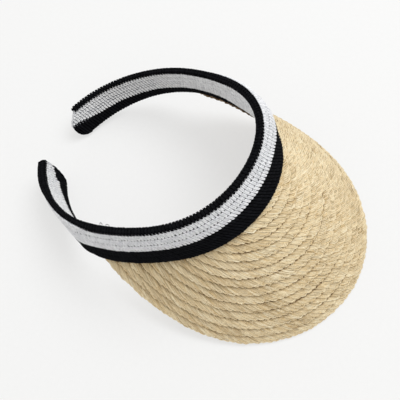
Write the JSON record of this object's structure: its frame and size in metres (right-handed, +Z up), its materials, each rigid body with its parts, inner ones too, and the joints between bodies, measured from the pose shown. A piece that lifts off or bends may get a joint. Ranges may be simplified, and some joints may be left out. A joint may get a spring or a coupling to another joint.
{
  "type": "sun visor",
  "caption": "Open-backed clip-on sun visor: a C-shaped padded head band in striped knit tape with a long curved brim sewn from overlapping rows of plaited raffia.",
  "frame": {"origin": "middle of the visor's bounding box on the surface it stands on, which the edge of the brim and the left free end of the band touch; the right free end is about 4 mm above it", "axes": "+Z up from that surface, -Y towards the front of the brim, +X towards the wearer's left"},
  "size_m": [0.192, 0.261, 0.1037],
  "materials": {
    "black_knit": "matte ribbed knit tape",
    "white_knit": "matte knit tape with grey flecks",
    "foam": "soft matte padding",
    "spring_plastic": "satin plastic strip",
    "raffia": "dry plaited raffia, slightly glossy strands"
  },
  "bodies": {
    "root": {"top_fold_black": "black_knit", "outer_tape_white": "white_knit", "outer_tape_black": "black_knit", "inner_tape_white": "white_knit", "inner_tape_black": "black_knit", "spring_strip": "spring_plastic", "forehead_foam": "foam", "end_cap_left": "white_knit", "end_cap_right": "white_knit", "brim_margin": "raffia", "braid_row_01": "raffia", "braid_row_02": "raffia", "braid_row_03": "raffia", "braid_row_04": "raffia", "braid_row_05": "raffia", "braid_row_06": "raffia", "braid_row_07": "raffia", "braid_row_08": "raffia", "braid_row_09": "raffia", "braid_row_10": "raffia", "braid_row_11": "raffia", "braid_row_12": "raffia", "braid_row_13": "raffia", "braid_row_14": "raffia", "braid_row_15": "raffia"}
  },
  "joints": []
}
